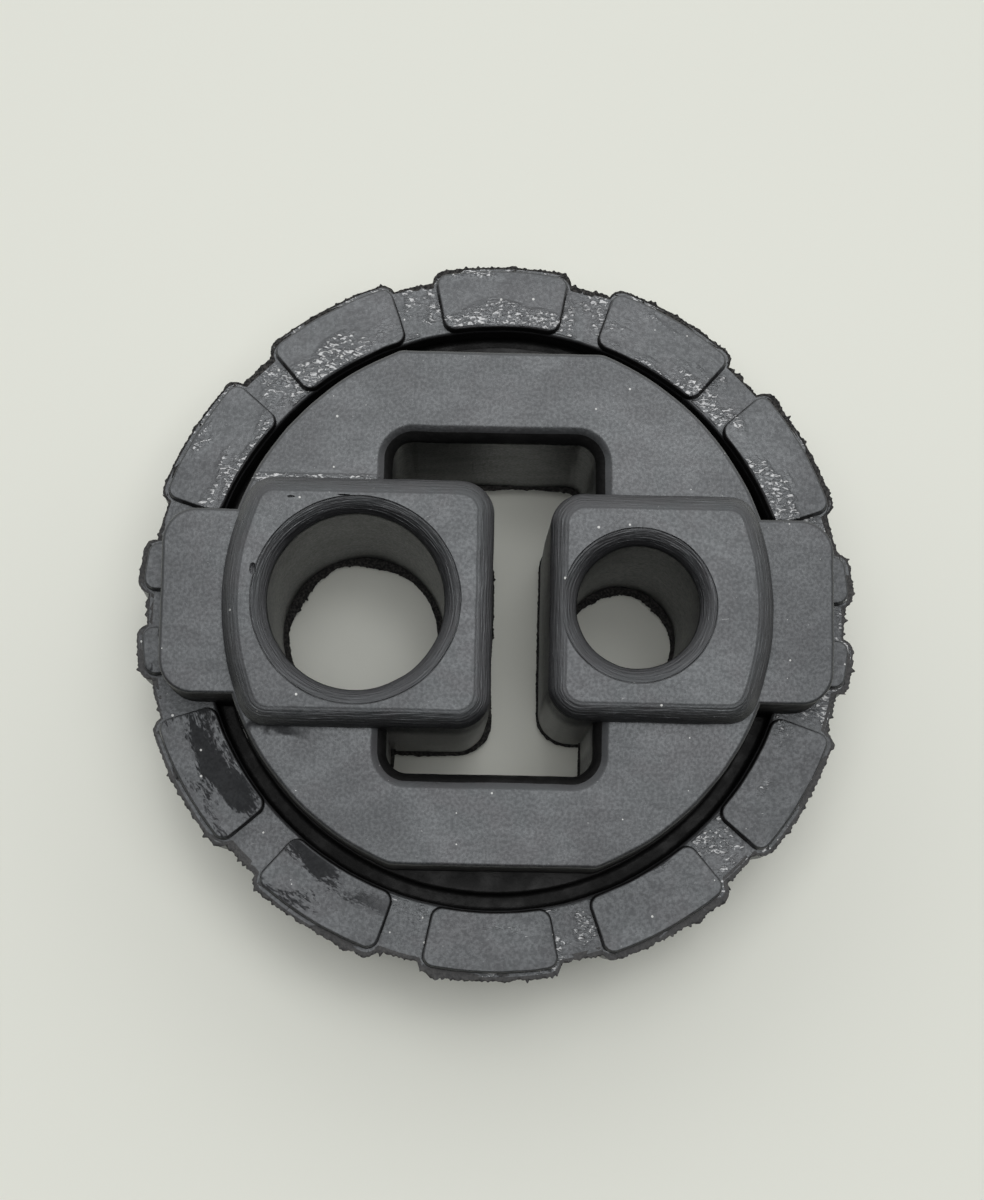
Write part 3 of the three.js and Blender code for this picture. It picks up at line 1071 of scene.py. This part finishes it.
def rubber_material():
    material, tree, shader = new_material("rubber", {
        "Specular IOR Level": 0.82,
        "Specular Tint": (0.93, 0.97, 1.0, 1),
    })
    place, radius, parts = surveyed(tree)
    normal = surface_normal(tree)
    flat = ranged(tree, maths(tree, "ABSOLUTE", normal["Z"]), 0.58, 0.98)
    upright = ranged(tree, flat, 0, 1, 1, 0)
    lit_towards_far_side = ranged(tree, parts["Y"], -32 * MM, 32 * MM)
    outer = ranged(tree, maths(tree, "ABSOLUTE", parts["X"]), 22 * MM, 33 * MM)
    scaly = scaly_share(tree, place, radius, parts)
    painted_dark = painted_dark_share(tree, place, radius, parts)

    clouds = noise_at(tree, place, 11, 5)
    tint = noise_at(tree, place, 5, 4, 0.6)
    smears = noise_at(tree, scaled(tree, place, (0.45, 1, 1)), 4, 6, 1.6)
    mottle = noise_at(tree, place, 0.32, 3)
    grain = noise_at(tree, place, 0.16, 2)
    scales = noise_at(tree, scaled(tree, place, (0.55, 1, 1)), 0.28, 3, 0.8)
    glints = maths(tree, "ADD", scales, ranged(tree, scaly, 0, 1, -0.2, 0))

    face = face_colour(tree, tint, clouds, smears, mottle)
    colour = mixed(tree, flat, wall_colour(tree, normal, radius, parts), face)
    # Painted light, lighter towards +Y
    colour = mixed(tree, maths(tree, "MULTIPLY", lit_towards_far_side, 0.16), colour, PAINTED_LIGHT)
    colour = mixed(tree, maths(tree, "MULTIPLY", outer, 0.5), colour, DARK_RUBBER)
    # Painted dark reflection on the pads and painted shadow at the large boss's foot
    colour = mixed(tree, painted_dark, colour, PAINTED_DARK)
    # Painted shade at the chamfers' throats
    colour = mixed(tree, throat_shade_share(tree, parts), colour, THROAT_SHADE)
    # Painted shade between the glints, then painted glints, on the scaly rubber
    colour = mixed(tree, maths(tree, "MULTIPLY", scaly, 0.35), colour, PAINTED_DARK)
    colour = mixed(tree, ranged(tree, glints, 0.53, 0.64), colour, PAINTED_GLINT)
    colour = mixed(tree, maths(tree, "MULTIPLY", speck_share(tree, place), flat), colour, DUST)
    tree.links.new(colour, shader.inputs["Base Color"])

    rough = sum_of(
        tree,
        ranged(tree, flat, 0, 1, 0.38, 0.44),
        ranged(tree, smears, 0.4, 0.65, 0.015, -0.015),
        ranged(tree, clouds, 0.38, 0.62, -0.01, 0.02),
        ranged(tree, mottle, 0.35, 0.7, -0.05, 0.07),
        ranged(tree, lit_towards_far_side, 0, 1, 0.05, 0),
        maths(tree, "MULTIPLY", outer, 0.03),
        maths(tree, "MULTIPLY", scaly, -0.1),
        maths(tree, "MULTIPLY", painted_dark, 0.5),
    )
    tree.links.new(rough, shader.inputs["Roughness"])

    on_boss = between(tree, parts["Z"], PLATE_LEVEL + 0.2, BOSS_LENGTH + 1)
    on_edge = all_of(tree, on_boss, ranged(tree, flat, 0.95, 1, 1, 0))
    cutter_lines = noise_at(tree, scaled(tree, place, (0.03, 0.03, 1)), 0.11, 3)
    streaks = noise_at(tree, scaled(tree, place, (1, 1, 0.06)), 0.5, 3)
    relief = node(tree, "ShaderNodeBevel", {"Radius": 0.1 * MM}, samples=4).outputs["Normal"]
    for height, depth in (
        (noise_at(tree, place, 2.4, 3), 0.06),
        (mottle, 0.02),
        (maths(tree, "MULTIPLY", streaks, upright), 0.03),
        (maths(tree, "MULTIPLY", cutter_lines, on_edge), 0.14),
        (maths(tree, "MULTIPLY", scales, scaly), 0.13),
        (grain, 0.008),
    ):
        relief = bumped(tree, height, depth, relief)
    tree.links.new(relief, shader.inputs["Normal"])
    return material


# Rubber with painted shade, for the plate's sides, the groove and the window's chamfer, with a patchy
# gloss; the painted shade is almost black but for the upper part of the sides
def shaded_rubber_material():
    material, tree, shader = new_material("rubber_painted_shade", {"Specular IOR Level": 0.2})
    place, radius, parts = surveyed(tree)
    film = noise_at(tree, place, 1.8, 4)
    patchy = ranged(tree, film, 0.4, 0.65)
    # Painted shade, darkest deep down and lighter high on the plate's sides
    high = ranged(tree, from_middle(tree, parts), 4.5 * MM, 9 * MM)
    on_side = ranged(tree, radius, WINDOW_REACH * MM, (WINDOW_REACH + 1) * MM)
    colour = mixed(
        tree,
        maths(tree, "MULTIPLY", high, on_side),
        mixed(tree, patchy, *DEEP_SHADE_RUBBER),
        mixed(tree, patchy, *SIDE_SHADE_RUBBER),
    )
    tree.links.new(colour, shader.inputs["Base Color"])
    tree.links.new(ranged(tree, film, 0.35, 0.75, 0.6, 0.46), shader.inputs["Roughness"])
    tree.links.new(bumped(tree, noise_at(tree, place, 0.6, 3), 0.1), shader.inputs["Normal"])
    return material


# Torn flash, greyer and smoother on its level faces along the rim's -Y side
def flash_material():
    material, tree, shader = new_material("torn_rubber", {"Specular IOR Level": 0.4})
    place, radius, parts = surveyed(tree)
    crumbs = noise_at(tree, place, 0.25, 3)
    rim = ranged(tree, radius, 30 * MM, 31 * MM)
    near = maths(tree, "MULTIPLY", rim, ranged(tree, parts["Y"], -10 * MM, 25 * MM, 1, 0))
    level = ranged(tree, surface_normal(tree)["Z"], 0.8, 0.95)
    colour = mixed(tree, ranged(tree, crumbs, 0.4, 0.65), *TORN_RUBBER)
    colour = mixed(tree, all_of(tree, near, level, 0.45), colour, NEAR_SIDE_FLASH)
    tree.links.new(colour, shader.inputs["Base Color"])
    tree.links.new(ranged(tree, near, 0, 1, 0.95, 0.6), shader.inputs["Roughness"])
    tree.links.new(bumped(tree, crumbs, 0.08), shader.inputs["Normal"])
    return material


def floor():
    half = FLOOR_HALF
    corners = [(-half, -half, 0), (half, -half, 0), (half, half, 0), (-half, half, 0)]
    piece = mesh_object("floor", corners, [(0, 1, 2, 3)])
    paint = {"Base Color": (*FLOOR_COLOUR, 1), "Roughness": FLOOR_ROUGHNESS}
    piece.data.materials.append(new_material("floor", paint)[0])


def area_light(name, place, target, size, power):
    data = bpy.data.lights.new(name, "AREA")
    data.size = size
    data.energy = power
    data.color = LIGHT_COLOUR
    light = bpy.data.objects.new(name, data)
    light.location = place
    light.rotation_euler = (Vector(target) - Vector(place)).to_track_quat("-Z", "Y").to_euler()
    bpy.context.scene.collection.objects.link(light)


def lights():
    area_light("softbox", SOFTBOX_PLACE, (0, 0, 0), SOFTBOX_SIZE, SOFTBOX_POWER)
    area_light("lamp", LAMP_PLACE, (0, 0, 0), LAMP_SIZE, LAMP_POWER)
    world = bpy.data.worlds.new("studio")
    bpy.context.scene.world = world
    world.use_nodes = True
    tree = world.node_tree
    direction = node(tree, "ShaderNodeTexCoord", {}).outputs["Generated"]
    parts = parts_of(tree, direction)
    away = maths(tree, "SUBTRACT", parts["Y"], maths(tree, "MULTIPLY", parts["Z"], WORLD_DIP))
    background = tree.nodes["Background"]
    background.inputs["Color"].default_value = (*LIGHT_COLOUR, 1)
    strength = ranged(tree, away, *WORLD_RANGE, WORLD_NEAR, WORLD_FAR)
    tree.links.new(strength, background.inputs["Strength"])
    bpy.context.scene.view_settings.view_transform = "Standard"


def camera():
    data = bpy.data.cameras.new("camera")
    data.lens = CAMERA_LENS
    data.sensor_width = CAMERA_SENSOR
    data.clip_end = CAMERA_REACH * MM
    eye = bpy.data.objects.new("camera", data)
    turn = Matrix.Rotation(CAMERA_ROLL, 3, "Z")
    turn = turn @ Matrix.Rotation(CAMERA_TILT_Y, 3, "Y") @ Matrix.Rotation(CAMERA_TILT_X, 3, "X")
    eye.matrix_world = Matrix.Translation(CAMERA_PLACE * MM) @ turn.transposed().to_4x4()
    bpy.context.scene.collection.objects.link(eye)
    bpy.context.scene.camera = eye


def main():
    noise.seed_set(WAVE_SEED)
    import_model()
    rubber = rubber_material()
    torn = flash_material()
    for piece, material in ((moulding(), rubber), (rim_flash(), torn), (hole_flash(), torn)):
        if material is torn:
            soften(piece)
            shade(piece, FLASH_CREASE)
        piece.data.materials.clear()
        piece.data.materials.append(material)
        if material is rubber:
            # The second material paints shade on the faces that the next line picks
            piece.data.materials.append(shaded_rubber_material())
            mark_painted_shade(piece)
        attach(piece, "root")
        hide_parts("hanger_rubber")
    floor()
    lights()
    camera()


main()
